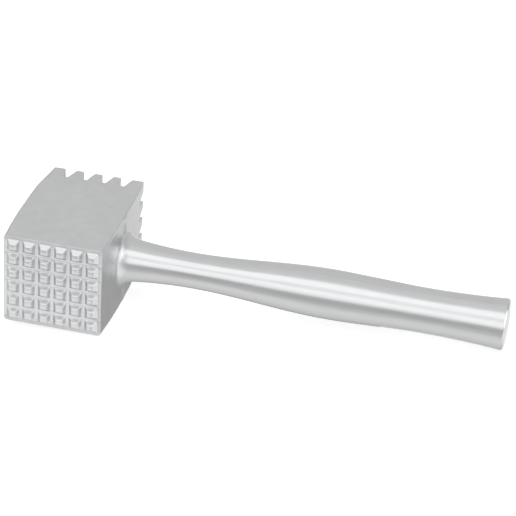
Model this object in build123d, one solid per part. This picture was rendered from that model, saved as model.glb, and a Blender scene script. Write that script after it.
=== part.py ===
from build123d import *
import math
import os

# Meat mallet: a cast aluminium head with a fine face and a coarse face, and a turned
# aluminium handle that is screwed to the head's side by a steel stud and locked by a pin.
# Millimetres. The origin is the middle of the head's flat underside. +X runs along the
# handle to its butt, +Y to the coarse face and +Z up.

# Head block. Its sides have a flat land at mid-depth and fall away to both faces: by the
# front crown at the fine face, and by the back crowns at the floor of the coarse grooves.
FACE_WIDTH = 57.15
FACE_HEIGHT = 55.2
LAND_LENGTH = 16.0
FRONT_CROWN = 1.05
BACK_CROWN_WIDTH = 1.2
BACK_CROWN_HEIGHT = 1.45
FINE_FLOOR_Y = -42.2
COARSE_FLOOR_Y = 35.9
EDGE_ROUND = 1.8

# Fine teeth, six each way
FINE_COUNT = 6
FINE_MARGIN = 1.0
FINE_GROOVE_FLOOR = 1.9
FINE_TIP = 3.4
FINE_HEIGHT = 2.9

# Coarse teeth, five each way
COARSE_COUNT = 5
COARSE_PITCH = 11.4
COARSE_GROOVE_FLOOR = 2.9
COARSE_TIP = 4.5
COARSE_HEIGHT = 10.6
COARSE_ROOT_ROUND = 0.6
COARSE_TIP_ROUND = 0.4

# Boss that the handle seats on. Its hollow flank carries on the slope of the handle's foot.
BOSS_RADIUS = 15.6
BOSS_HEIGHT = 1.0
BOSS_SPREAD = 2.0
BOSS_SINK = 0.3

# Handle outline: distance from the head's middle and radius
FOOT_END = (38.6, 12.1)
NECK = (71.0, 10.3)
FOREGRIP = (100.0, 11.5)
SHOULDER = (126.0, 13.5)
PALM = (150.5, 14.4)
BACKGRIP = (177.0, 13.7)
WAIST = (203.5, 13.0)
FLARE = (232.0, 13.65)
BUTT = (251.2, 14.95)
BUTT_X = 252.5
FOOT_END_SLOPE = -0.111
BUTT_SLOPE = 0.1
FOOT_EDGE_BREAK = 0.2

# Stud M12 with a plain shank across the seam
THREAD_RADIUS = 6.0
THREAD_PITCH = 1.75
THREAD_DEPTH = 0.6134 * THREAD_PITCH
THREAD_CREST = THREAD_PITCH / 8
THREAD_CLEARANCE = 0.06
SHANK_CLEARANCE = 0.15
STUD_HEAD_END_X = -4.5
STUD_SHANK_START_X = 24.0
STUD_SHANK_END_X = 36.0
STUD_HANDLE_END_X = 60.5
STUD_CHAMFER = 1.2
TAP_RUNOUT = 2.0
DRILL_RUNOUT = 4.0
DRILL_POINT_ANGLE = 118.0

# Slotted spring pin that locks the stud in the head
PIN_X = 10.0
PIN_RADIUS = 2.0
PIN_WALL = 0.8
PIN_SLOT = 0.9
PIN_CHAMFER = 0.4
PIN_BOTTOM_Z = 0.8
PIN_LENGTH = 36.0
PIN_HOLE_SPARE = 1.2

# Cutting bodies run this far past what they cut, and points this close are the same
SPARE = 1.0
NEAR = 0.01

# Worked out from the sizes above
HALF_WIDTH = FACE_WIDTH / 2 + FRONT_CROWN
HALF_HEIGHT = FACE_HEIGHT / 2 + FRONT_CROWN
AXIS_Z = HALF_HEIGHT
FINE_TIP_Y = FINE_FLOOR_Y - FINE_HEIGHT
COARSE_TIP_Y = COARSE_FLOOR_Y + COARSE_HEIGHT
SEAT_X = HALF_WIDTH + BOSS_HEIGHT
HEIGHT_RATIO = FACE_HEIGHT / FACE_WIDTH
MASK_REACH = 2 * HALF_WIDTH
THREAD_ROOT = THREAD_RADIUS - THREAD_DEPTH
DRILL_POINT_SLOPE = 1 / math.tan(math.radians(DRILL_POINT_ANGLE / 2))

AXIS = Axis((0, 0, AXIS_Z), (1, 0, 0))
PLAN = Plane(origin=(0, 0, AXIS_Z), x_dir=(1, 0, 0), z_dir=(0, 0, 1))
SIDE = Plane(origin=(0, 0, AXIS_Z), x_dir=(0, 0, 1), z_dir=(-1, 0, 0))
LATHE = Plane(origin=(0, 0, AXIS_Z), x_dir=(1, 0, 0), z_dir=(0, -1, 0))


def crown_radius(drop, end_y):
    """Radius of the arc that leaves the flat land and has fallen by drop at end_y."""
    run = abs(end_y) - LAND_LENGTH / 2
    return (run**2 + drop**2) / (2 * drop)


def crowned_outline(half_mid, back_crown):
    """The block seen across one pair of sides: a flat land at mid-depth, arcs falling
    away to both faces, and the outer flanks of the coarse teeth in line with the arcs."""
    land = LAND_LENGTH / 2
    front_radius = crown_radius(FRONT_CROWN, FINE_FLOOR_Y)
    front_run = abs(FINE_TIP_Y) - land
    front_drop = front_radius - math.sqrt(front_radius**2 - front_run**2)
    front = (half_mid - front_drop, FINE_TIP_Y)
    back = (half_mid - back_crown, COARSE_FLOOR_Y)
    back_angle = math.asin((COARSE_FLOOR_Y - land) / crown_radius(back_crown, COARSE_FLOOR_Y))
    tip = (back[0] - COARSE_HEIGHT * math.tan(back_angle), COARSE_TIP_Y)
    with BuildSketch() as sketch:
        with BuildLine():
            Line((0, FINE_TIP_Y), front)
            TangentArc((half_mid, -land), front, tangent=(0, -1))
            Line((half_mid, -land), (half_mid, land))
            TangentArc((half_mid, land), back, tangent=(0, 1))
            Line(back, tip)
            Line(tip, (0, COARSE_TIP_Y))
            Line((0, COARSE_TIP_Y), (0, FINE_TIP_Y))
        make_face()
        mirror(about=Plane.YZ)
    return sketch.sketch


def fine_teeth(scale):
    """Points of the fine teeth from the low end to the high end."""
    pitch = (FACE_WIDTH - 2 * FINE_MARGIN) / FINE_COUNT * scale
    base = pitch - FINE_GROOVE_FLOOR
    points = []
    for tooth in range(FINE_COUNT):
        middle = (tooth - (FINE_COUNT - 1) / 2) * pitch
        points.append((middle - base / 2, FINE_FLOOR_Y))
        points.append((middle - FINE_TIP / 2, FINE_TIP_Y))
        points.append((middle + FINE_TIP / 2, FINE_TIP_Y))
        points.append((middle + base / 2, FINE_FLOOR_Y))
    return points


def coarse_grooves(scale):
    """Points of the coarse face's grooves from the low end to the high end."""
    pitch = COARSE_PITCH * scale
    mouth = pitch - COARSE_TIP
    points = []
    for groove in range(COARSE_COUNT - 1):
        middle = (groove - (COARSE_COUNT - 2) / 2) * pitch
        points.append((middle - mouth / 2, COARSE_TIP_Y))
        points.append((middle - COARSE_GROOVE_FLOOR / 2, COARSE_FLOOR_Y))
        points.append((middle + COARSE_GROOVE_FLOOR / 2, COARSE_FLOOR_Y))
        points.append((middle + mouth / 2, COARSE_TIP_Y))
    return points


def comb_outline(scale):
    """Both rows of teeth seen along one set of grooves, wider than the block."""
    fine = fine_teeth(scale)
    coarse = coarse_grooves(scale)
    ends = [(MASK_REACH, FINE_FLOOR_Y), (MASK_REACH, COARSE_TIP_Y)]
    far_ends = [(-MASK_REACH, COARSE_TIP_Y), (-MASK_REACH, FINE_FLOOR_Y)]
    with BuildSketch() as sketch:
        with BuildLine():
            Polyline(*fine, *ends, *reversed(coarse), *far_ends, close=True)
        make_face()
        corners = [v for v in sketch.vertices() if abs(v.X) < HALF_WIDTH]
        fillet([v for v in corners if abs(v.Y - COARSE_TIP_Y) < NEAR], COARSE_TIP_ROUND)
        corners = [v for v in sketch.vertices() if abs(v.X) < HALF_WIDTH]
        fillet([v for v in corners if abs(v.Y - COARSE_FLOOR_Y) < NEAR], COARSE_ROOT_ROUND)
    return sketch.sketch


def thread_points(start_x, end_x, extra):
    """A thread's outline as flat-topped ridges from start_x to end_x, grown by extra."""
    way = 1 if end_x > start_x else -1
    flank = (THREAD_PITCH - THREAD_CREST) / 2
    count = int(abs(end_x - start_x) / THREAD_PITCH)
    points = []
    for ridge in range(count):
        x = start_x + way * ridge * THREAD_PITCH
        points.append((x, THREAD_ROOT + extra))
        points.append((x + way * flank, THREAD_RADIUS + extra))
        points.append((x + way * (flank + THREAD_CREST), THREAD_RADIUS + extra))
    points.append((start_x + way * count * THREAD_PITCH, THREAD_ROOT + extra))
    return points


def turned(points):
    """A solid of revolution about the handle's axis from its outline above the axis."""
    with BuildPart() as part:
        with BuildSketch(LATHE):
            with BuildLine():
                Polyline(*points, close=True)
            make_face()
        revolve(axis=AXIS)
    return part.part


def tapped_hole(shank_end_x, thread_end_x):
    """A blind hole from the seat: clearance for the shank, thread, then drill point."""
    way = 1 if thread_end_x > SEAT_X else -1
    clear = THREAD_RADIUS + SHANK_CLEARANCE
    drill = THREAD_ROOT + THREAD_CLEARANCE
    bottom = thread_end_x + way * DRILL_RUNOUT
    point = bottom + way * drill * DRILL_POINT_SLOPE
    thread = thread_points(shank_end_x, thread_end_x + way * TAP_RUNOUT, THREAD_CLEARANCE)
    mouth = [(SEAT_X, 0), (SEAT_X, clear), (shank_end_x, clear)]
    return turned([*mouth, *thread, (bottom, drill), (point, 0)])


def foot_curve():
    """The handle's flare from the end of its foot out to the rim that meets the boss."""
    rim = (SEAT_X + FOOT_EDGE_BREAK, BOSS_RADIUS)
    return TangentArc(FOOT_END, rim, tangent=(-1, -FOOT_END_SLOPE))


def boss():
    """The raised round pad on the head's side, with a hollow flank that runs into it."""
    flare = foot_curve() % 1
    rim = (SEAT_X, BOSS_RADIUS)
    foot = (HALF_WIDTH - BOSS_SINK, BOSS_RADIUS + BOSS_SPREAD)
    inside = (foot[0] - SPARE, foot[1])
    with BuildPart() as part:
        with BuildSketch(LATHE):
            with BuildLine():
                TangentArc(rim, foot, tangent=(flare.X, flare.Y))
                Polyline(foot, inside, (inside[0], 0), (SEAT_X, 0), rim)
            make_face()
        revolve(axis=AXIS)
    return part.part


def pin_hole():
    """The blind cross hole drilled up from the head's underside through the stud."""
    depth = PIN_BOTTOM_Z + PIN_LENGTH + PIN_HOLE_SPARE
    at = Location((PIN_X, 0, 0))
    hole = Cylinder(PIN_RADIUS, depth, align=(Align.CENTER, Align.CENTER, Align.MIN))
    point_height = PIN_RADIUS * DRILL_POINT_SLOPE
    point = Cone(PIN_RADIUS, 0, point_height, align=(Align.CENTER, Align.CENTER, Align.MIN))
    return at * (hole + Pos(0, 0, depth) * point)


def make_head():
    """Crowned block, teeth on both faces, seat boss, tapped socket and pin hole."""
    plan_outline = crowned_outline(HALF_WIDTH, BACK_CROWN_WIDTH)
    side_outline = crowned_outline(HALF_HEIGHT, BACK_CROWN_HEIGHT)
    plan = extrude(PLAN * plan_outline, HALF_HEIGHT + SPARE, both=True)
    side = extrude(SIDE * side_outline, HALF_WIDTH + SPARE, both=True)
    block = plan & side
    long_edges = [e for e in block.edges() if is_corner_edge(e)]
    block = fillet(long_edges, EDGE_ROUND)
    block = block & extrude(PLAN * comb_outline(1.0), MASK_REACH, both=True)
    block = block & extrude(SIDE * comb_outline(HEIGHT_RATIO), MASK_REACH, both=True)
    socket = tapped_hole(STUD_SHANK_START_X, STUD_HEAD_END_X)
    return block + boss() - socket - pin_hole()


def is_corner_edge(edge):
    """True for the block's long edges, which run from face to face."""
    middle = edge.position_at(0.5)
    low_x = HALF_WIDTH - 2 * BACK_CROWN_WIDTH
    low_z = HALF_HEIGHT - 2 * BACK_CROWN_HEIGHT
    at_corner = abs(middle.X) > low_x and abs(middle.Z - AXIS_Z) > low_z
    return at_corner and FINE_TIP_Y + NEAR < middle.Y < COARSE_TIP_Y - NEAR


def make_handle():
    """Turned handle: flared foot, neck, palm swell, waist, flared butt and blind socket."""
    foot = (SEAT_X, BOSS_RADIUS - FOOT_EDGE_BREAK)
    butt_rim = (BUTT_X, BUTT[1] - (BUTT_X - BUTT[0]))
    with BuildPart() as part:
        with BuildSketch(LATHE):
            with BuildLine():
                Line((SEAT_X, 0), foot)
                flare = foot_curve()
                Line(foot, flare @ 1)
                Spline(
                    FOOT_END, NECK, FOREGRIP, SHOULDER, PALM, BACKGRIP, WAIST, FLARE, BUTT,
                    tangents=[(1, FOOT_END_SLOPE), (1, BUTT_SLOPE)],
                )
                TangentArc(BUTT, butt_rim, tangent=(1, BUTT_SLOPE))
                Line(butt_rim, (BUTT_X, 0))
                Line((BUTT_X, 0), (SEAT_X, 0))
            make_face()
        revolve(axis=AXIS)
    return part.part - tapped_hole(STUD_SHANK_END_X, STUD_HANDLE_END_X)


def make_stud():
    """Double-ended stud: a thread each end, a plain shank across the seam and a cross hole."""
    tip = THREAD_ROOT - STUD_CHAMFER
    head_thread = thread_points(STUD_SHANK_START_X, STUD_HEAD_END_X + STUD_CHAMFER, 0)
    handle_thread = thread_points(STUD_SHANK_END_X, STUD_HANDLE_END_X - STUD_CHAMFER, 0)
    stud = turned([
        (STUD_HEAD_END_X, 0), (STUD_HEAD_END_X, tip),
        (STUD_HEAD_END_X + STUD_CHAMFER, THREAD_ROOT),
        *reversed(head_thread),
        (STUD_SHANK_START_X, THREAD_RADIUS), (STUD_SHANK_END_X, THREAD_RADIUS),
        *handle_thread,
        (STUD_HANDLE_END_X - STUD_CHAMFER, THREAD_ROOT), (STUD_HANDLE_END_X, tip),
        (STUD_HANDLE_END_X, 0),
    ])
    cross_hole = Pos(PIN_X, 0, AXIS_Z) * Cylinder(PIN_RADIUS, 3 * THREAD_RADIUS)
    return stud - cross_hole


def make_lock_pin():
    """Slotted spring pin: a rolled tube with chamfered ends and a slot along it."""
    bottom = Pos(PIN_X, 0, PIN_BOTTOM_Z)
    low = (Align.CENTER, Align.CENTER, Align.MIN)
    pin = Cylinder(PIN_RADIUS, PIN_LENGTH, align=low)
    pin = chamfer(pin.edges().filter_by(GeomType.CIRCLE), PIN_CHAMFER)
    pin = pin - Cylinder(PIN_RADIUS - PIN_WALL, PIN_LENGTH, align=low)
    slot_align = (Align.MIN, Align.CENTER, Align.MIN)
    pin = pin - Box(2 * PIN_RADIUS, PIN_SLOT, PIN_LENGTH, align=slot_align)
    return bottom * pin


os.makedirs("parts", exist_ok=True)
pieces = {
    "head": make_head(),
    "handle": make_handle(),
    "tie_stud": make_stud(),
    "lock_pin": make_lock_pin(),
}
for name, piece in pieces.items():
    export_step(piece, f"parts/{name}.step")
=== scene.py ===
import math

import bpy
import numpy as np
from mathutils import Matrix, Vector, noise


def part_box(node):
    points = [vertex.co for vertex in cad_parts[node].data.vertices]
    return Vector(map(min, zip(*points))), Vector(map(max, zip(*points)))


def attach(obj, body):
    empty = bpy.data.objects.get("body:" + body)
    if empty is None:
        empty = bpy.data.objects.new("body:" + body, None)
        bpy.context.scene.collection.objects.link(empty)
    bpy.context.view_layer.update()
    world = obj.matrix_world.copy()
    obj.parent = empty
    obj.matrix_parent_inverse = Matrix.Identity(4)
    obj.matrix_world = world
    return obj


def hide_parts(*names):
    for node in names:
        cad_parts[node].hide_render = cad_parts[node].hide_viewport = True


# Looks of the meat mallet. Geometry is worked out in millimetres, in the CAD frame: the
# origin is the middle of the head's underside, +X runs along the handle, +Y points to the
# coarse face and +Z is up. MM turns millimetres into Blender's metres.
MM = 0.001

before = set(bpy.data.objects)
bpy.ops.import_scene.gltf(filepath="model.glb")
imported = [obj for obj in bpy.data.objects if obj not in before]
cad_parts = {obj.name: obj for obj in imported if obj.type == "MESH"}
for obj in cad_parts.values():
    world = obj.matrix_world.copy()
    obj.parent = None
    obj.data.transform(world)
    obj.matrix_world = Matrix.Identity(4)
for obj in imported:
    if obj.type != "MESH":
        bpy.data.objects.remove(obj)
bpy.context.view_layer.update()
head_low, head_high = (np.array(corner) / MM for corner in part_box("head"))
handle_low, handle_high = (np.array(corner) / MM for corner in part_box("handle"))

# Sizes read from the frame
AXIS_Z = (head_low[2] + head_high[2]) / 2
HALF_WIDTH = -head_low[0]
HALF_HEIGHT = AXIS_Z
SEAT_X = handle_low[0]
BUTT_X = handle_high[0]
FINE_TIP_Y = head_low[1]
COARSE_TIP_Y = head_high[1]
FOOT_RADIUS = AXIS_Z - handle_low[2]

# Head block: flat lands at mid-depth, crowned sides, rounded long edges, and a low parting
# ridge up and down the handle's side
LAND_HALF = 8.0
FRONT_CROWN = 1.05
BACK_CROWN_WIDTH = 1.2
BACK_CROWN_HEIGHT = 1.45
EDGE_ROUND = 1.8
RIDGE_HEIGHT = 0.9
RIDGE_HALF = 5.0
RIDGE_FADE = 4.0

# Fine teeth
FINE_COUNT = 6
FINE_MARGIN = 1.0
FINE_HEIGHT = 2.9
FINE_FLOOR_HALF = 0.95
FINE_TIP_HALF = 1.7
FINE_RIM_ROUND = 0.2
FINE_DOME = 0.2
FINE_BLEND = 0.55
FINE_CROSS_BLEND = 0.3
FINE_FLOOR_Y = FINE_TIP_Y + FINE_HEIGHT

# Coarse teeth. Their grooves' ends round over into the sides. This is felt from RIM_FALL_Y on,
# and fades out up a tooth's flank over GROOVE_SHARE of its height
COARSE_COUNT = 5
COARSE_PITCH = 11.4
COARSE_HEIGHT = 10.6
COARSE_FLOOR_HALF = 1.45
COARSE_ROOT_BLEND = 1.9
COARSE_TIP_BLEND = 1.8
COARSE_CROSS_BLEND = 0.8
COARSE_TIP_HALF = 2.25
COARSE_RIM_ROUND = 1.3
COARSE_FLOOR_Y = COARSE_TIP_Y - COARSE_HEIGHT
GROOVE_SHARE = 0.8
RIM_FALL_Y = 20.0

# Boss that the handle's foot seats on
BOSS_SPREAD = 3.0
BOSS_SINK = 0.3
BOSS_BLEND = 1.2
BOSS_FADE = (19.2, 24.4)
SEAM = 0.03

# Grid lines across the two faces: distances in from the rim, and out from a groove's middle
FINE_RIM_LINES = [0, 0.04, 0.12, 0.2, 0.9, 1.5, 1.95, 2.2, 2.7, 3.3, 3.75, 4.1, 4.7]
FINE_GROOVE_LINES = [0, 0.45, 0.75, 0.95, 1.2, 1.7, 2.3, 2.75, 2.93, 3.15, 3.6, 4.2]
COARSE_RIM_LINES = [0, 0.1, 0.22, 0.36, 0.5, 0.64, 0.78, 0.92, 1.05, 1.2, 1.4, 1.7]
COARSE_GROOVE_LINES = [0, 0.6, 1.05, 1.25, 1.45, 1.65, 1.9, 2.3, 2.8, 3.25, 3.55, 4.1]

# Even grid lines between an outer coarse tooth's rim and its groove: the first one's distance
# from the rim, the last one's from the head's middle, and their number
COARSE_TOOTH_LINES = (2.1, 21.8, 11)

# Rings over the boss's edge and hollow flank, and the even lines inside and outside them
BOSS_RINGS = [15.1, 15.4, 15.5, 15.6, 15.7, 15.9, 16.2, 16.5, 16.9, 17.3, 17.8, 18.3, 19.0]
SEAT_REACH = 14.7
SEAT_LINES = 31
OUTER_LINES = 19
EDGE_LINES = 10

# Rows along the depth: from the middle out to the boss, past the boss, and in from each rim
INNER_ROWS = [0, 0.8, 1.6, 2.4, 3.2, 4.2, 5.6, 7.5, 10, 12.5, 14.7]
OUTER_ROWS = [20.0, 21.1, 22.6]
FRONT_ROWS = [0, 0.3, 0.9, 2, 4, 6.6, 9.6, 12.8, 16]
BACK_ROWS = [11.2, 9, 7.2, 5.6, 4.2, 3, 2, 1.2, 0.6, 0.25, 0]

# Depths between which the lines of a face pass into those of the middle
FRONT_PASSAGE = (-38.0, -24.0)
BACK_PASSAGE = (23.0, 33.0)

# Handle outline: distance from the head's middle and radius
FOOT_END = (38.6, 12.1)
GRIP = [(71.0, 10.3), (100.0, 11.5), (126.0, 13.5), (150.5, 14.4), (177.0, 13.7)]
TAIL = [(203.5, 13.0), (232.0, 13.65), (251.2, 14.95)]
FOOT_SLOPE = -0.111
BUTT_SLOPE = 0.1
BUTT_DOME = 0.8
BUTT_ROUND = 1.8
BORE_RADIUS = 6.1
BORE_END_X = 67.0
BORE_POINT = 3.6
BORE_RING = 8.0
SEAT_RING_RADIUS = 11.0

# Points along the parts of the handle's outline, and round it. FLARE_POINTS are the finer
# points along the foot that give its slope at the seat
FLARE_POINTS = 40
FOOT_POINTS = 28
GRIP_POINTS = 230
BUTT_ROUND_POINTS = 11
BUTT_FACE_POINTS = 12
AROUND = 144
SHARP_ANGLE = 35

# Holes in the head: the stud's socket and the lock pin's hole in the underside
SOCKET_RADIUS = 6.1
SOCKET_END_X = -7.5
PIN_X = 10.0
PIN_HOLE_RADIUS = 2.03
PIN_HOLE_TOP = 38.0
DRILL_POINT = 0.6
CUTTER_SPARE = 2.0
CUTTER_SIDES = 48

# Unevenness of the cast skin: wavelength and height of each layer of noise
SKIN_WAVES = [(11.0, 0.075), (3.4, 0.06), (1.7, 0.03)]

# Wear of the cast skin, from 0 to 1: the share of a tooth's height, or the distance from a
# long edge, between which it comes or goes. Below 0 the same values are painted shade: they
# make the fine teeth's inner flanks darker and rougher, by the flank shade amount below, in
# place of the shade that the neighbouring teeth cast. A flank counts as an outer one, and gets
# no painted shade, between the OUTER_FLANK distances from the foot of the outermost teeth.
FINE_TIP_WEAR = (0.7, 1.0)
FINE_FLOOR_WEAR = (0.0, 0.15)
COARSE_TIP_WEAR = (0.55, 1.0)
EDGE_WEAR = (0.4, 2.2)
# Strength of the painted shade on the fine teeth's inner flanks
FLANK_PAINTED_SHADE = 1.0
OUTER_FLANK = (-3.6, -2.8)

# Metals: how much light each sends back where it is darkest and lightest, and its roughness.
# The handle is rougher by FOOT_ROUGHER at the seat, which fades out over FOOT_MATTE.
COOL_TINT = (0.992, 0.998, 1.008)
CAST_GREY = (0.54, 0.70)
CAST_ROUGH = 0.39
CAST_ROUGH_SPREAD = 0.04
CAST_WORN_SMOOTHER = 0.14
POLISHED_GREY = (0.61, 0.69)
POLISHED_ROUGH = (0.17, 0.24)
FOOT_MATTE = 3.0
FOOT_ROUGHER = 0.2
ZINC_GREY = (0.52, 0.66)
ZINC_ROUGH = (0.24, 0.34)
SPRING_GREY = (0.3, 0.4)
SPRING_ROUGH = (0.3, 0.42)

# Depth of each metal's fine relief, in millimetres
CAST_RELIEF = 0.03
POLISHED_RELIEF = 0.008
STEEL_RELIEF = 0.006

# The range that holds nearly all of a noise texture's values
NOISE_RANGE = (0.3, 0.7)

# How squarely a surface of the handle faces along the axis, where the lengthwise polishing
# lines pass into rings on the butt
BUTT_FACING = (0.6, 0.9)

# Light tent: brightness by the angle round the handle's axis, 0 at the front horizon and
# 90 overhead
TENT = [
    (-180, 0.72), (-150, 0.42), (-128, 0.45), (-108, 0.68), (-79, 0.88), (-58, 0.96),
    (-40, 0.92), (-24, 0.70), (-10, 0.57), (4, 0.60), (14, 1.26), (30, 1.44), (45, 1.12),
    (60, 1.46), (73, 1.42), (82, 0.88), (100, 0.84), (135, 0.76), (180, 0.72),
]

# The brightest level that the tent's colour ramp can hold
TENT_TOP_LEVEL = 2

# The tent's brightness toward its two ends: less above the horizon, and more below it at the
# end beyond the butt. The pairs are the parts of a direction along x where this starts and ends
TENT_SIDES = 0.62
TENT_SIDES_FADE = (0.45, 0.8)
TENT_LOW_RIGHT = 1.5
TENT_LOW_RIGHT_FADE = (0.45, 0.85)
HORIZON_BLEND = 0.1

# Floor, in metres: a matte white sheet that glows a little, so that only contact shadows show
FLOOR_REACH = 6.0
FLOOR_GAP = 0.0002
FLOOR_GREY = 0.9
FLOOR_ROUGH = 0.9
FLOOR_GLOW = 0.5

# Sides and brightness of the plain wall round the floor
WALL_SIDES = 48
WALL_GLOW = 1.0

# Level studio cards, in metres: two corners, height and brightness
LEVEL_CARDS = {
    "front_card": ((-0.35, -0.14), (0.02, -0.05), -FLOOR_GAP, 1.1),
    "back_card": ((0.0, 0.065), (0.16, 0.4), -FLOOR_GAP, 0.92),
    "top_card": ((-0.3, -0.2), (0.5, -0.06), 0.35, 1.42),
    "butt_card": ((0.18, 0.0), (0.5, 0.4), -FLOOR_GAP, 1.0),
}

# The upright card beyond the butt: two corners in y and z, distance along x and brightness
RIGHT_CARD = ((-0.26, 0.05), (0.12, 0.36), 0.55, 2.2)

# Camera: angles in degrees, lens and sensor in millimetres, the rest in metres
CAMERA_AZIMUTH = 10.957
CAMERA_ELEVATION = 30.521
CAMERA_ROLL = 4.101
CAMERA_DISTANCE = 1.15547
CAMERA_TARGET_X = 0.10779
CAMERA_TARGET_ABOVE_AXIS = 0.01546
CAMERA_LENS = 142.61
CAMERA_SENSOR = 36


def smooth_min(a, b, blend):
    """The smaller of a and b, rounded over where they are within blend of each other."""
    return np.minimum(a, b) - np.maximum(blend - np.abs(a - b), 0) ** 2 / (4 * blend)


def smooth_max(a, b, blend):
    """The larger of a and b, rounded over where they are within blend of each other."""
    return -smooth_min(-a, -b, blend)


def smooth_step(low, high, value):
    """0 below low, 1 above high, with a soft start and end."""
    t = np.clip((value - low) / (high - low), 0, 1)
    return t * t * (3 - 2 * t)


def both_ways(distances):
    """Distances that start at 0, on both sides of 0."""
    distances = np.array(distances)
    return np.concatenate([-distances[:0:-1], distances])


def arc_drop(y, crown, end_y):
    """Fall of a side's arc at depth y, if it falls by crown between its land and end_y."""
    reach = abs(end_y) - LAND_HALF
    radius = (reach**2 + crown**2) / (2 * crown)
    run = np.clip(np.abs(y) - LAND_HALF, 0, reach)
    return radius - np.sqrt(radius**2 - run**2)


def side_drop(y, back_crown):
    """How far a side has fallen from its flat land at depth y."""
    front = arc_drop(y, FRONT_CROWN, FINE_FLOOR_Y)
    back = arc_drop(y, back_crown, COARSE_FLOOR_Y)
    return np.where(y < 0, front, back)


def tip_inset(back_crown):
    """How far an outer coarse tooth's flank, in line with the side's arc, leans in."""
    reach = COARSE_FLOOR_Y - LAND_HALF
    radius = (reach**2 + back_crown**2) / (2 * back_crown)
    return COARSE_HEIGHT * math.tan(math.asin(reach / radius))


def fine_pitch(half):
    """Distance between neighbouring fine teeth."""
    return 2 * (half - FINE_MARGIN) / FINE_COUNT


def fine_lines(half):
    """Grid lines across the fine face: its rounded rim, then each groove and flank."""
    rim = np.array(FINE_RIM_LINES)
    reach = both_ways(FINE_GROOVE_LINES)
    middles = [(g - FINE_COUNT / 2) * fine_pitch(half) for g in range(1, FINE_COUNT)]
    grooves = [middle + reach for middle in middles]
    return np.sort(np.concatenate([rim - half, *grooves, half - rim]))


def coarse_lines(half):
    """Grid lines across the coarse face: outer flanks, grooves and tooth middles."""
    from_rim, from_middle, count = COARSE_TOOTH_LINES
    tooth = np.linspace(from_rim, half - from_middle, count)
    rim = np.concatenate([COARSE_RIM_LINES, tooth])
    reach = both_ways(COARSE_GROOVE_LINES)
    grooves = [(g - COARSE_COUNT / 2) * COARSE_PITCH + reach for g in range(1, COARSE_COUNT)]
    middles = [COARSE_PITCH * t for t in (-1, 0, 1)]
    return np.sort(np.concatenate([rim - half, *grooves, middles, half - rim]))


def middle_lines(half):
    """Grid lines across the head at mid-depth, which become rings round the boss."""
    inner = np.linspace(0, SEAT_REACH, SEAT_LINES)
    outer = np.linspace(BOSS_RINGS[-1], half - EDGE_ROUND, OUTER_LINES)[1:]
    edge = np.linspace(half - EDGE_ROUND, half, EDGE_LINES)[1:]
    return both_ways(np.concatenate([inner, BOSS_RINGS, outer, edge]))


def depth_rows():
    """Rows from the fine rim to the coarse rim, closest at the boss's flank and the rims."""
    middle = both_ways([*INNER_ROWS, *BOSS_RINGS, *OUTER_ROWS])
    front = FINE_FLOOR_Y + FINE_RIM_ROUND + np.array(FRONT_ROWS)
    back = COARSE_FLOOR_Y - np.array(BACK_ROWS)
    return np.concatenate([front, middle, back])


def box_surface(nx, ny, nz):
    """Keys (i, j, k) of the points on a grid box's surface, and its outward quads."""
    index = {}
    quads = []

    def quad(*corners):
        quads.append([index.setdefault(c, len(index)) for c in corners])

    for i in range(nx):
        for j in range(ny):
            quad((i, j, 0), (i, j + 1, 0), (i + 1, j + 1, 0), (i + 1, j, 0))
            quad((i, j, nz), (i + 1, j, nz), (i + 1, j + 1, nz), (i, j + 1, nz))
    for i in range(nx):
        for k in range(nz):
            quad((i, 0, k), (i + 1, 0, k), (i + 1, 0, k + 1), (i, 0, k + 1))
            quad((i, ny, k), (i, ny, k + 1), (i + 1, ny, k + 1), (i + 1, ny, k))
    for j in range(ny):
        for k in range(nz):
            quad((0, j, k), (0, j, k + 1), (0, j + 1, k + 1), (0, j + 1, k))
            quad((nx, j, k), (nx, j + 1, k), (nx, j + 1, k + 1), (nx, j, k + 1))
    return np.array(list(index)), quads


def fine_profile(across, half):
    """Height of the fine teeth seen along one set of grooves, with soft corners."""
    pitch = fine_pitch(half)
    shifted = across / pitch + FINE_COUNT / 2
    from_groove = np.abs(shifted - np.round(shifted)) * pitch
    run = pitch / 2 - FINE_FLOOR_HALF - FINE_TIP_HALF
    flank = (from_groove - FINE_FLOOR_HALF) / run * FINE_HEIGHT
    flank = np.where(np.abs(across) > pitch * FINE_COUNT / 2, -FINE_HEIGHT, flank)
    return smooth_min(smooth_max(flank, 0, FINE_BLEND), FINE_HEIGHT, FINE_BLEND)


def fine_dome(across, half):
    """1 at the middle of each fine tooth's tip, falling to 0 at its edge."""
    pitch = fine_pitch(half)
    shifted = across / pitch + (FINE_COUNT + 1) / 2
    from_middle = np.abs(shifted - np.round(shifted)) * pitch
    return 1 - np.clip(from_middle / FINE_TIP_HALF, 0, 1) ** 2


def fine_wear_and_shade(share, x, z, half):
    """Wear of the fine face, where share is the share of a tooth's height. Its inner flanks get
    painted shade, as values below 0.
    """
    outer = np.maximum(np.abs(x), np.abs(z)) - (half - FINE_MARGIN)
    flank = 4 * np.clip(share, 0, 1) * (1 - np.clip(share, 0, 1))
    # Painted shade: the inner flanks get a value below 0, which darkens their colour; the outer
    # flanks get none
    painted_flank_shade = flank * (1 - smooth_step(*OUTER_FLANK, outer))
    tip = smooth_step(*FINE_TIP_WEAR, share)
    floor = 1 - smooth_step(*FINE_FLOOR_WEAR, share)
    return tip - FLANK_PAINTED_SHADE * painted_flank_shade + floor


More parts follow.
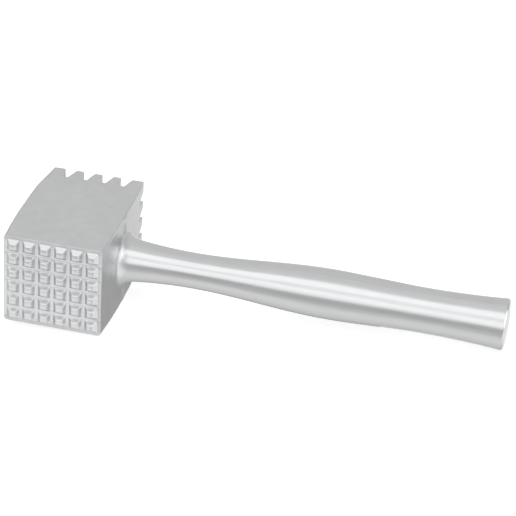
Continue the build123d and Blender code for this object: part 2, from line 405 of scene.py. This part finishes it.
def coarse_profile(across, half, inset):
    """Height of the coarse teeth seen along one set of grooves, with soft corners."""
    shifted = across / COARSE_PITCH + COARSE_COUNT / 2
    from_groove = np.abs(shifted - np.round(shifted)) * COARSE_PITCH
    run = COARSE_PITCH / 2 - COARSE_FLOOR_HALF - COARSE_TIP_HALF
    last = (COARSE_COUNT / 2 - 1) * COARSE_PITCH
    beyond = np.abs(across) > last
    from_groove = np.where(beyond, np.abs(across) - last, from_groove)
    flank = (from_groove - COARSE_FLOOR_HALF) / run * COARSE_HEIGHT
    flank = smooth_min(smooth_max(flank, 0, COARSE_ROOT_BLEND), COARSE_HEIGHT, COARSE_TIP_BLEND)
    outer = (half - np.abs(across)) / inset * COARSE_HEIGHT
    return smooth_min(flank, outer, COARSE_TIP_BLEND)


def grooved(along):
    """1 where a coarse groove runs out at the rim, falling to 0 on the teeth."""
    return 1 - smooth_step(0, GROOVE_SHARE * COARSE_HEIGHT, along)


def round_corner(x, z, half_x, half_z):
    """Bends the square grid's corners into the block's rounded long edges."""
    over_x = np.abs(x) - (half_x - EDGE_ROUND)
    over_z = np.abs(z) - (half_z - EDGE_ROUND)
    corner = (over_x > 0) & (over_z > 0)
    far = np.where(corner, np.maximum(over_x, over_z), 1)
    angle_x = np.pi / 4 * np.clip(over_z / far, 0, 1)
    angle_z = np.pi / 4 * np.clip(over_x / far, 0, 1)
    along_x = np.where(over_x >= over_z, far * np.cos(angle_x), far * np.sin(angle_z))
    along_z = np.where(over_x >= over_z, far * np.sin(angle_x), far * np.cos(angle_z))
    round_x = np.sign(x) * (half_x - EDGE_ROUND + along_x)
    round_z = np.sign(z) * (half_z - EDGE_ROUND + along_z)
    return np.where(corner, round_x, x), np.where(corner, round_z, z)


def ring_boss(y, z):
    """Bends the side's square grid into rings round the boss, fading to square outside."""
    square = np.maximum(np.abs(y), np.abs(z))
    length = np.hypot(y, z)
    shrink = square / np.where(length > 0, length, 1)
    weight = 1 - smooth_step(*BOSS_FADE, square)
    factor = weight * shrink + 1 - weight
    return y * factor, z * factor


def foot_arc(count):
    """Points of the flare from the end of the handle's foot out to the seat's rim."""
    start = np.array(FOOT_END)
    chord = np.array([SEAT_X + SEAM, FOOT_RADIUS]) - start
    along = np.array([-1, -FOOT_SLOPE]) / math.hypot(1, FOOT_SLOPE)
    normal = np.array([along[1], -along[0]])
    radius = chord @ chord / (2 * (chord @ normal))
    turn = 2 * math.asin(np.linalg.norm(chord) / (2 * radius))
    angle = np.linspace(0, turn, count)[:, None]
    return start + radius * (np.sin(angle) * along + (1 - np.cos(angle)) * normal)


def boss_side(radius):
    """Distance along the handle's axis of the boss's hollow flank at a radius."""
    end = np.diff(foot_arc(FLARE_POINTS)[-2:], axis=0)[0]
    end = end / np.linalg.norm(end)
    normal = np.array([end[1], -end[0]])
    chord = np.array([HALF_WIDTH - BOSS_SINK - SEAT_X, BOSS_SPREAD])
    curve = chord @ chord / (2 * (chord @ normal))
    middle = np.array([SEAT_X, FOOT_RADIUS]) + curve * normal
    reach = np.clip(radius, FOOT_RADIUS, FOOT_RADIUS + BOSS_SPREAD) - middle[1]
    flank = middle[0] - np.sqrt(curve**2 - reach**2)
    return np.where(radius < FOOT_RADIUS, SEAT_X - SEAM, flank)


def parting_ridge(y, z, half_z):
    """Height of the ridge on the handle's side, which stops at the boss and the long edges."""
    ridge = RIDGE_HEIGHT * np.clip(1 - (y / RIDGE_HALF) ** 2, 0, 1) ** 2
    ridge *= 1 - smooth_step(half_z - RIDGE_FADE, half_z, np.abs(z))
    return ridge * smooth_step(FOOT_RADIUS, FOOT_RADIUS + BOSS_SPREAD, np.hypot(y, z))


def rim_fall(distance, radius):
    """How far a rounded rim has fallen at a distance in from the edge."""
    left = np.clip(radius - distance, 0, radius)
    return radius - np.sqrt(radius**2 - left**2)


def head_points(keys):
    """Each grid key's place on the head, and the wear of its skin there, with painted shade on
    the fine teeth's inner flanks.
    """
    i, j, k = keys.T
    last = keys.max(0)
    y = depth_rows()[j]
    front = 1 - smooth_step(*FRONT_PASSAGE, y)
    back = smooth_step(*BACK_PASSAGE, y)
    fine_half = HALF_WIDTH - FRONT_CROWN
    coarse_half = HALF_WIDTH - BACK_CROWN_WIDTH
    families = (fine_lines(fine_half), middle_lines(HALF_HEIGHT), coarse_lines(coarse_half))
    lines = np.stack([family / family[-1] for family in families], 1)
    across = np.stack([front, 1 - front - back, back], 1)
    half_x = HALF_WIDTH - side_drop(y, BACK_CROWN_WIDTH)
    half_z = HALF_HEIGHT - side_drop(y, BACK_CROWN_HEIGHT)
    x = (lines[i] * across).sum(1) * half_x
    z = (lines[k] * across).sum(1) * half_z
    from_x = half_x - np.abs(x)
    from_z = half_z - np.abs(z)

    # The fine face
    square_z = z * half_x / half_z
    profiles = fine_profile(x, fine_half), fine_profile(square_z, fine_half)
    fine = smooth_min(*profiles, FINE_CROSS_BLEND)
    dome = fine_dome(x, fine_half) * fine_dome(square_z, fine_half)
    fine = fine * (1 - FINE_DOME / FINE_HEIGHT * (1 - dome))
    fine_y = FINE_FLOOR_Y + rim_fall(np.minimum(from_x, from_z), FINE_RIM_ROUND) - fine

    # The coarse face, and how its grooves run out into the sides
    along_x = coarse_profile(families[2][i], coarse_half, tip_inset(BACK_CROWN_WIDTH))
    along_z = coarse_profile(families[2][k], coarse_half, tip_inset(BACK_CROWN_HEIGHT))
    coarse = smooth_min(along_x, along_z, COARSE_CROSS_BLEND)
    fall = grooved(along_x) * rim_fall(from_z, COARSE_RIM_ROUND)
    fall += grooved(along_z) * rim_fall(from_x, COARSE_RIM_ROUND)
    y = y - fall * smooth_step(RIM_FALL_Y, COARSE_FLOOR_Y, y)

    # The sides, with the boss and the parting ridge on the handle's side
    round_x, round_z = round_corner(x, z, half_x, half_z)
    side = (j > 0) & (j < last[1])
    handle_side = side & (i == last[0])
    ring_y, ring_z = ring_boss(y, z)
    radius = np.hypot(ring_y, ring_z)
    on_boss = handle_side & (radius < BOSS_FADE[1])
    flat_x = HALF_WIDTH - side_drop(ring_y, BACK_CROWN_WIDTH)
    boss_x = smooth_max(flat_x, boss_side(radius), BOSS_BLEND)
    ridge = parting_ridge(ring_y, ring_z, half_z)
    x_out = np.where(on_boss, boss_x, round_x) + np.where(handle_side, ridge, 0)
    y_out = np.where(on_boss, ring_y, y)
    z_out = np.where(on_boss, ring_z, round_z)

    # The fine face's values carry painted shade, below 0, on the inner flanks of its teeth
    face_wear_and_shade = fine_wear_and_shade(fine / FINE_HEIGHT, x, square_z, fine_half)
    coarse_wear = smooth_step(*COARSE_TIP_WEAR, coarse / COARSE_HEIGHT)
    to_edge = np.hypot(half_x - np.abs(x_out), half_z - np.abs(z_out))
    edge_wear = 1 - smooth_step(*EDGE_WEAR, to_edge)
    wear_and_shade = np.where(j == 0, face_wear_and_shade, np.where(j == last[1], coarse_wear, edge_wear))
    coarse_y = COARSE_FLOOR_Y + coarse - fall
    y_out = np.where(j == 0, fine_y, np.where(j == last[1], coarse_y, y_out))
    return np.stack([x_out, y_out, z_out + AXIS_Z], 1), wear_and_shade


def new_piece(name, points, faces):
    """An object from points in metres."""
    mesh = bpy.data.meshes.new(name)
    mesh.from_pydata(points, [], faces)
    piece = bpy.data.objects.new(name, mesh)
    bpy.context.scene.collection.objects.link(piece)
    return piece


def smooth_piece(name, points, faces):
    """A smooth-shaded piece from points in millimetres."""
    piece = new_piece(name, (np.asarray(points) * MM).tolist(), faces)
    piece.data.shade_smooth()
    piece.data.update()
    return piece


def roughen(piece):
    """Moves a piece's points along their normals by the cast skin's unevenness."""
    mesh = piece.data
    normals = np.array([vertex.normal for vertex in mesh.vertices])
    points = np.array([vertex.co for vertex in mesh.vertices]) / MM
    shift = np.zeros(len(points))
    for wave, height in SKIN_WAVES:
        shift += [height * noise.noise(Vector(point / wave)) for point in points]
    mesh.vertices.foreach_set("co", ((points + normals * shift[:, None]) * MM).ravel())
    mesh.update()


def circle(radius, height, sides):
    """Points of a level circle round the z axis."""
    turns = np.arange(sides) * 2 * np.pi / sides
    return [(radius * math.cos(turn), radius * math.sin(turn), height) for turn in turns]


def tube_faces(sides):
    """Outward quads between a circle's points and those of the next circle above it."""
    steps = [(step, (step + 1) % sides) for step in range(sides)]
    return [(step, after, sides + after, sides + step) for step, after in steps]


def cutter(name, radius, length, placing):
    """A drill's shape: a cylinder from the origin up to length, then the drill's point."""
    points = circle(radius, 0, CUTTER_SIDES) + circle(radius, length, CUTTER_SIDES)
    points.append((0, 0, length + radius * DRILL_POINT))
    faces = [tuple(reversed(range(CUTTER_SIDES)))]
    for side in tube_faces(CUTTER_SIDES):
        faces.append(side)
        faces.append((side[3], side[2], 2 * CUTTER_SIDES))
    placed = [tuple(placing @ Vector(point)) for point in points]
    return smooth_piece(name, placed, faces)


def drill(piece, *cutters):
    """Cuts each cutter's shape out of a piece and removes the cutters."""
    for tool in cutters:
        cut = piece.modifiers.new(tool.name, "BOOLEAN")
        cut.operation = "DIFFERENCE"
        cut.solver = "EXACT"
        cut.object = tool
    graph = bpy.context.evaluated_depsgraph_get()
    drilled = bpy.data.meshes.new_from_object(piece.evaluated_get(graph))
    piece.modifiers.clear()
    piece.data = drilled
    drilled.name = piece.name
    drilled.set_sharp_from_angle(angle=math.radians(SHARP_ANGLE))
    for tool in cutters:
        bpy.data.objects.remove(tool)


def make_head():
    """The cast head as one closed grid surface, with its two drilled holes."""
    count = len(middle_lines(HALF_HEIGHT)) - 1
    keys, quads = box_surface(count, len(depth_rows()) - 1, count)
    points, wear_and_shade = head_points(keys)
    piece = smooth_piece("head_casting", points, quads)
    # The attribute holds the skin's wear and, below 0, painted shade on the fine teeth's inner
    # flanks
    piece.data.attributes.new("wear_and_shade", "FLOAT", "POINT").data.foreach_set("value", wear_and_shade)
    roughen(piece)
    start_x = SEAT_X + CUTTER_SPARE
    inward = Matrix.Rotation(-math.pi / 2, 4, "Y")
    seat = Matrix.Translation((start_x, 0, AXIS_Z)) @ inward
    socket = cutter("socket_cutter", SOCKET_RADIUS, start_x - SOCKET_END_X, seat)
    below = Matrix.Translation((PIN_X, 0, -CUTTER_SPARE))
    pin_hole = cutter("pin_cutter", PIN_HOLE_RADIUS, PIN_HOLE_TOP + CUTTER_SPARE, below)
    drill(piece, socket, pin_hole)
    return piece


def spline_radius(at):
    """Radius from the end of the foot to the butt: a cubic spline with set end slopes."""
    x, r = np.array([FOOT_END, *GRIP, *TAIL]).T
    gap = np.diff(x)
    rise = np.diff(r) / gap
    system = np.zeros((len(x), len(x)))
    target = np.zeros(len(x))
    system[0, 0] = system[-1, -1] = 1
    target[0] = FOOT_SLOPE
    target[-1] = BUTT_SLOPE
    for n in range(1, len(x) - 1):
        system[n, n - 1 : n + 2] = gap[n], 2 * (gap[n - 1] + gap[n]), gap[n - 1]
        target[n] = 3 * (gap[n] * rise[n - 1] + gap[n - 1] * rise[n])
    slope = np.linalg.solve(system, target)
    n = np.clip(np.searchsorted(x, at) - 1, 0, len(gap) - 1)
    t = (at - x[n]) / gap[n]
    start = r[n] * (1 + 2 * t) * (1 - t) ** 2 + slope[n] * gap[n] * t * (1 - t) ** 2
    end = r[n + 1] * t**2 * (3 - 2 * t) + slope[n + 1] * gap[n] * t**2 * (t - 1)
    return start + end


def handle_outline():
    """The handle's outline from the bottom of its bore round to the middle of the butt."""
    bore_end = [(BORE_END_X + BORE_POINT, 0), (BORE_END_X, BORE_RADIUS)]
    bore = [*bore_end, (SEAT_X + BORE_RING, BORE_RADIUS)]
    rim_radii = (BORE_RADIUS + SEAM, SEAT_RING_RADIUS, FOOT_RADIUS - SEAM)
    seat = [(SEAT_X, radius) for radius in rim_radii]
    grip_x = np.linspace(FOOT_END[0], BUTT_X - BUTT_DOME - BUTT_ROUND, GRIP_POINTS)[1:]
    grip = np.stack([grip_x, spline_radius(grip_x)], 1)
    angle = np.linspace(0, np.pi / 2, BUTT_ROUND_POINTS)[1:, None]
    corner = np.array([grip_x[-1], grip[-1, 1] - BUTT_ROUND])
    round_rim = corner + BUTT_ROUND * np.concatenate([np.sin(angle), np.cos(angle)], 1)
    face_radius = np.linspace(round_rim[-1, 1], 0, BUTT_FACE_POINTS)[1:]
    dome = BUTT_X - BUTT_DOME * (face_radius / round_rim[-1, 1]) ** 2
    face = np.stack([dome, face_radius], 1)
    return np.concatenate([bore, seat, foot_arc(FOOT_POINTS)[::-1], grip, round_rim, face])


def make_handle():
    """The turned handle, with the bore that the stud screws into."""
    outline = handle_outline()
    rings = outline[1:-1]
    x, radius = np.repeat(rings, AROUND, axis=0).T
    angle = np.tile(np.arange(AROUND) * 2 * np.pi / AROUND, len(rings))
    points = np.stack([x, radius * np.sin(angle), AXIS_Z + radius * np.cos(angle)], 1)
    ends = [(outline[0, 0], 0, AXIS_Z), (outline[-1, 0], 0, AXIS_Z)]
    points = np.concatenate([points, ends])
    first, last = len(points) - 2, len(points) - 1
    top = (len(rings) - 1) * AROUND
    faces = []
    for step in range(AROUND):
        after = (step + 1) % AROUND
        faces.append((first, step, after))
        faces.append((last, top + after, top + step))
        for low in range(0, top, AROUND):
            faces.append((low + step, low + AROUND + step, low + AROUND + after, low + after))
    piece = smooth_piece("handle_turned", points, faces)
    piece.data.set_sharp_from_angle(angle=math.radians(SHARP_ANGLE))
    return piece


def new_material(name):
    """A node material, its node tree and its Principled shader."""
    material = bpy.data.materials.new(name)
    material.use_nodes = True
    return material, material.node_tree, material.node_tree.nodes["Principled BSDF"]


def add(tree, kind, inputs, **settings):
    """A new shader node. Each input is a value, or the socket that feeds it."""
    node = tree.nodes.new("ShaderNode" + kind)
    for name, value in settings.items():
        setattr(node, name, value)
    for name, value in inputs.items():
        if isinstance(value, bpy.types.NodeSocket):
            tree.links.new(value, node.inputs[name])
        else:
            node.inputs[name].default_value = value
    return node


def math_node(tree, operation, first, second):
    """The result of an operation on two values or sockets."""
    return add(tree, "Math", {0: first, 1: second}, operation=operation).outputs[0]


def vector_node(tree, operation, first, second):
    """The resulting vector of an operation on two vectors or sockets."""
    return add(tree, "VectorMath", {0: first, 1: second}, operation=operation).outputs[0]


def map_range(tree, value, from_range, to_range):
    """A value carried from one range to another and kept inside it."""
    ends = {"From Min": from_range[0], "From Max": from_range[1]}
    ends.update({"To Min": to_range[0], "To Max": to_range[1]})
    return add(tree, "MapRange", {"Value": value, **ends}).outputs["Result"]


def grain(tree, place, wavelength, detail=2.0):
    """Noise with its wavelength in millimetres along x, y and z, from about 0 to 1."""
    scale = [1 / (length * MM) for length in wavelength]
    spread = vector_node(tree, "MULTIPLY", place, scale)
    return add(tree, "TexNoise", {"Vector": spread, "Scale": 1, "Detail": detail}).outputs["Fac"]


def noise_sum(tree, layers):
    """A sum of noises, each carried to the range from 0 to its weight."""
    parts = [map_range(tree, layer, NOISE_RANGE, (0, weight)) for layer, weight in layers]
    total = parts[0]
    for part in parts[1:]:
        total = math_node(tree, "ADD", total, part)
    return total


def grey_mix(tree, amount, levels):
    """A slightly cool grey between two brightnesses."""
    ends = [(*(level * tint for tint in COOL_TINT), 1) for level in levels]
    mix = add(tree, "Mix", {"Factor": amount, "A": ends[0], "B": ends[1]}, data_type="RGBA")
    return mix.outputs["Result"]


def finish_metal(tree, shader, color, roughness, height, depth):
    """Joins colour, roughness and a height map, depth millimetres high, to a metal shader."""
    bump = add(tree, "Bump", {"Height": height, "Distance": depth * MM, "Strength": 1})
    tree.links.new(color, shader.inputs["Base Color"])
    tree.links.new(roughness, shader.inputs["Roughness"])
    tree.links.new(bump.outputs["Normal"], shader.inputs["Normal"])
    shader.inputs["Metallic"].default_value = 1


def casting_pits(tree, place, spacing, radii, share):
    """1 in the middle of scattered small pits, 0 elsewhere. Only a share of cells has one."""
    inputs = {"Vector": place, "Scale": 1 / (spacing * MM), "Randomness": 1}
    cells = add(tree, "TexVoronoi", inputs)
    chance = add(tree, "SeparateColor", {"Color": cells.outputs["Color"]})
    radius = map_range(tree, chance.outputs["Green"], (0, 1), radii)
    radius_in_cells = math_node(tree, "DIVIDE", radius, spacing)
    near = math_node(tree, "DIVIDE", cells.outputs["Distance"], radius_in_cells)
    pit = map_range(tree, near, (0.5, 1), (1, 0))
    picked = math_node(tree, "LESS_THAN", chance.outputs["Red"], share)
    return math_node(tree, "MULTIPLY", pit, picked)


def cast_material():
    """Blasted cast aluminium: cloudy, fine-grained and pitted, smoother where it is worn, and
    darker and rougher where shade is painted on the fine teeth's inner flanks.
    """
    material, tree, shader = new_material("cast_aluminium")
    place = add(tree, "TexCoord", {}).outputs["Object"]
    clouds = grain(tree, place, (5, 5, 5), detail=3)
    patches = grain(tree, place, (17, 17, 17))
    sand = grain(tree, place, (0.5, 0.5, 0.5), detail=3)
    pits = casting_pits(tree, place, spacing=6.5, radii=(0.4, 1.0), share=0.3)
    wear_and_shade = add(tree, "Attribute", {}, attribute_name="wear_and_shade").outputs["Fac"]
    cloudy_wear = map_range(tree, clouds, NOISE_RANGE, (0.5, 1))
    rubbed = math_node(tree, "MULTIPLY", wear_and_shade, cloudy_wear)

    tone = noise_sum(tree, [(clouds, 0.5), (patches, 0.3), (sand, 0.2)])
    tone = math_node(tree, "SUBTRACT", tone, pits)
    # Painted shade: the attribute's values below 0 darken the fine teeth's inner flanks
    tone = math_node(tree, "ADD", tone, math_node(tree, "MINIMUM", wear_and_shade, 0))
    color = grey_mix(tree, map_range(tree, tone, (-1, 1), (0, 1)), CAST_GREY)
    rough_ends = (CAST_ROUGH - CAST_ROUGH_SPREAD, CAST_ROUGH + CAST_ROUGH_SPREAD)
    roughness = map_range(tree, clouds, NOISE_RANGE, rough_ends)
    smoother = math_node(tree, "MULTIPLY", rubbed, CAST_WORN_SMOOTHER)
    roughness = math_node(tree, "SUBTRACT", roughness, smoother)
    relief = math_node(tree, "ADD", sand, math_node(tree, "MULTIPLY", clouds, 0.8))
    relief = math_node(tree, "SUBTRACT", relief, math_node(tree, "MULTIPLY", pits, 6))
    finish_metal(tree, shader, color, roughness, relief, CAST_RELIEF)
    return material


def polished_material():
    """Satin aluminium: polishing lines along the grip, rings on the butt, matte at the foot."""
    material, tree, shader = new_material("polished_aluminium")
    coordinates = add(tree, "TexCoord", {})
    place = coordinates.outputs["Object"]
    from_axis = vector_node(tree, "SUBTRACT", place, (0, 0, AXIS_Z * MM))
    radial = vector_node(tree, "MULTIPLY", from_axis, (0, 1, 1))
    radius = add(tree, "VectorMath", {0: radial}, operation="LENGTH").outputs["Value"]
    ring_place = add(tree, "CombineXYZ", {"X": radius}).outputs[0]
    facing = add(tree, "SeparateXYZ", {0: coordinates.outputs["Normal"]}).outputs["X"]
    on_butt = map_range(tree, facing, BUTT_FACING, (0, 1))
    along = add(tree, "SeparateXYZ", {0: place}).outputs["X"]
    foot_ends = ((SEAT_X + FOOT_MATTE) * MM, SEAT_X * MM)
    at_foot = map_range(tree, along, foot_ends, (0, 1))

    fine = grain(tree, place, (38, 0.35, 0.35), detail=3)
    broad = grain(tree, place, (90, 2.2, 2.2))
    rings = grain(tree, ring_place, (0.25, 1, 1))
    clouds = grain(tree, place, (14, 9, 9), detail=3)
    lines = add(tree, "Mix", {"Factor": on_butt, "A": fine, "B": rings}).outputs["Result"]

    tone = noise_sum(tree, [(lines, 0.45), (broad, 0.35), (clouds, 0.2)])
    color = grey_mix(tree, tone, POLISHED_GREY)
    both = math_node(tree, "ADD", lines, broad)
    roughness = map_range(tree, both, (0.7, 1.3), POLISHED_ROUGH)
    rougher = math_node(tree, "MULTIPLY", at_foot, FOOT_ROUGHER)
    roughness = math_node(tree, "ADD", roughness, rougher)
    relief = math_node(tree, "ADD", lines, math_node(tree, "MULTIPLY", broad, 3))
    finish_metal(tree, shader, color, roughness, relief, POLISHED_RELIEF)
    return material


def zinc_material():
    """Zinc-plated steel: cloudy plating over turned rings."""
    material, tree, shader = new_material("zinc_steel")
    place = add(tree, "TexCoord", {}).outputs["Object"]
    turned = grain(tree, place, (0.12, 30, 30))
    clouds = grain(tree, place, (4, 4, 4), detail=3)
    color = grey_mix(tree, map_range(tree, clouds, NOISE_RANGE, (0, 1)), ZINC_GREY)
    roughness = map_range(tree, clouds, NOISE_RANGE, ZINC_ROUGH)
    finish_metal(tree, shader, color, roughness, turned, STEEL_RELIEF)
    return material


def spring_material():
    """Plain spring steel: dark, with rolling marks along the pin."""
    material, tree, shader = new_material("spring_steel")
    place = add(tree, "TexCoord", {}).outputs["Object"]
    rolled = grain(tree, place, (0.2, 0.2, 9), detail=3)
    clouds = grain(tree, place, (2.5, 2.5, 2.5), detail=3)
    color = grey_mix(tree, map_range(tree, clouds, NOISE_RANGE, (0, 1)), SPRING_GREY)
    roughness = map_range(tree, rolled, NOISE_RANGE, SPRING_ROUGH)
    finish_metal(tree, shader, color, roughness, rolled, STEEL_RELIEF)
    return material


def paint(piece, material):
    """Gives every material slot of a piece this material."""
    if not piece.data.materials:
        piece.data.materials.append(material)
    for slot in piece.material_slots:
        slot.material = material


def make_world():
    """The light tent. Its ramp holds levels up to TENT_TOP_LEVEL, as colours from 0 to 1."""
    world = bpy.data.worlds.new("light_tent")
    bpy.context.scene.world = world
    world.use_nodes = True
    tree = world.node_tree
    direction = add(tree, "TexCoord", {}).outputs["Generated"]
    split = add(tree, "SeparateXYZ", {0: direction})
    x, y, z = (split.outputs[name] for name in "XYZ")
    angle = math_node(tree, "ARCTAN2", z, math_node(tree, "MULTIPLY", y, -1))
    turn = map_range(tree, angle, (-math.pi, math.pi), (0, 1))
    ramp = add(tree, "ValToRGB", {"Fac": turn})
    ramp.color_ramp.interpolation = "EASE"
    stops = ramp.color_ramp.elements
    for degrees, level in TENT[1:-1]:
        stops.new((degrees + 180) / 360)
    for stop, (degrees, level) in zip(stops, TENT, strict=True):
        stop.position = (degrees + 180) / 360
        stop.color = (*[level / TENT_TOP_LEVEL] * 3, 1)

    above_ends = (TENT_TOP_LEVEL, TENT_TOP_LEVEL * TENT_SIDES)
    below_ends = (TENT_TOP_LEVEL, TENT_TOP_LEVEL * TENT_LOW_RIGHT)
    from_middle = math_node(tree, "ABSOLUTE", x, 0)
    above = map_range(tree, from_middle, TENT_SIDES_FADE, above_ends)
    below = map_range(tree, x, TENT_LOW_RIGHT_FADE, below_ends)
    height = map_range(tree, z, (-HORIZON_BLEND, HORIZON_BLEND), (0, 1))
    strength = add(tree, "Mix", {"Factor": height, "A": below, "B": above}).outputs["Result"]
    background = tree.nodes["Background"]
    tree.links.new(strength, background.inputs["Strength"])
    tree.links.new(ramp.outputs["Color"], background.inputs["Color"])


def glowing(name, grey, level):
    """A material without shine that glows by itself."""
    material, _, shader = new_material(name)
    shader.inputs["Base Color"].default_value = (grey, grey, grey, 1)
    shader.inputs["Specular IOR Level"].default_value = 0
    shader.inputs["Emission Color"].default_value = (1, 1, 1, 1)
    shader.inputs["Emission Strength"].default_value = level
    return material, shader


def hide_from(piece, *rays):
    """Keeps a piece out of some kinds of ray."""
    for ray in rays:
        setattr(piece, "visible_" + ray, False)


def rectangle(low, high):
    """The four corners of a rectangle, in order, from two opposite ones."""
    return [(low[0], low[1]), (high[0], low[1]), (high[0], high[1]), (low[0], high[1])]


def make_floor():
    """The pale floor, tipped so that the head's lower edge and the butt rest on it."""
    butt_low = AXIS_Z - TAIL[-1][1]
    pivot_x = HALF_WIDTH - EDGE_ROUND / 2
    tilt = math.atan2(butt_low, TAIL[-1][0] - pivot_x)
    corners = rectangle((-FLOOR_REACH, -FLOOR_REACH), (FLOOR_REACH, FLOOR_REACH))
    floor = new_piece("floor", [(x, y, 0) for x, y in corners], [(0, 1, 2, 3)])
    pivot = Matrix.Translation((pivot_x * MM, 0, -FLOOR_GAP))
    floor.matrix_world = pivot @ Matrix.Rotation(-tilt, 4, "Y")
    material, shader = glowing("floor", FLOOR_GREY, FLOOR_GLOW)
    shader.inputs["Roughness"].default_value = FLOOR_ROUGH
    paint(floor, material)
    hide_from(floor, "glossy")


def make_backdrop():
    """A plain white wall round the floor. It shows only to the camera."""
    points = circle(FLOOR_REACH, -FLOOR_REACH / 2, WALL_SIDES)
    points += circle(FLOOR_REACH, FLOOR_REACH, WALL_SIDES)
    inward = [tuple(reversed(face)) for face in tube_faces(WALL_SIDES)]
    wall = new_piece("backdrop", points, inward)
    paint(wall, glowing("backdrop", 0, WALL_GLOW)[0])
    hide_from(wall, "glossy", "diffuse", "transmission", "shadow")


def make_card(name, corners, level):
    """A studio light card, in metres. It shows only in the metal's reflections."""
    card = new_piece(name, corners, [(0, 1, 2, 3)])
    paint(card, glowing(name, 0, level)[0])
    hide_from(card, "camera", "diffuse", "transmission", "shadow")


def make_cards():
    """The level cards under, behind and over the mallet, and the upright one on its right."""
    for name, (low, high, height, level) in LEVEL_CARDS.items():
        make_card(name, [(x, y, height) for x, y in rectangle(low, high)], level)
    low, high, right_x, level = RIGHT_CARD
    make_card("right_card", [(right_x, y, z) for y, z in rectangle(low, high)], level)


def make_camera():
    """The camera: azimuth and elevation round the object, roll, distance and lens."""
    azimuth = math.radians(CAMERA_AZIMUTH)
    elevation = math.radians(CAMERA_ELEVATION)
    roll = math.radians(CAMERA_ROLL)
    target = Vector((CAMERA_TARGET_X, 0, AXIS_Z * MM + CAMERA_TARGET_ABOVE_AXIS))
    back = Vector((
        math.sin(azimuth) * math.cos(elevation),
        -math.cos(azimuth) * math.cos(elevation),
        math.sin(elevation),
    ))
    right = (-back).cross(Vector((0, 0, 1))).normalized()
    up = right.cross(-back)
    turned_right = right * math.cos(roll) + up * math.sin(roll)
    turned_up = up * math.cos(roll) - right * math.sin(roll)
    facing = Matrix((turned_right, turned_up, back)).transposed().to_4x4()
    data = bpy.data.cameras.new("camera")
    data.sensor_width = CAMERA_SENSOR
    data.lens = CAMERA_LENS
    camera = bpy.data.objects.new("camera", data)
    bpy.context.scene.collection.objects.link(camera)
    camera.matrix_world = Matrix.Translation(target + back * CAMERA_DISTANCE) @ facing
    bpy.context.scene.camera = camera


head = make_head()
handle = make_handle()
for piece, node, slot in (
    (head, "head", "cast_aluminium"),
    (handle, "handle", "polished_aluminium"),
):
    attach(piece, "root")
    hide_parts(node)

paint(head, cast_material())
paint(handle, polished_material())
paint(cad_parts["tie_stud"], zinc_material())
paint(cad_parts["lock_pin"], spring_material())

make_world()
make_floor()
make_backdrop()
make_cards()
make_camera()
bpy.context.scene.view_settings.view_transform = "Standard"
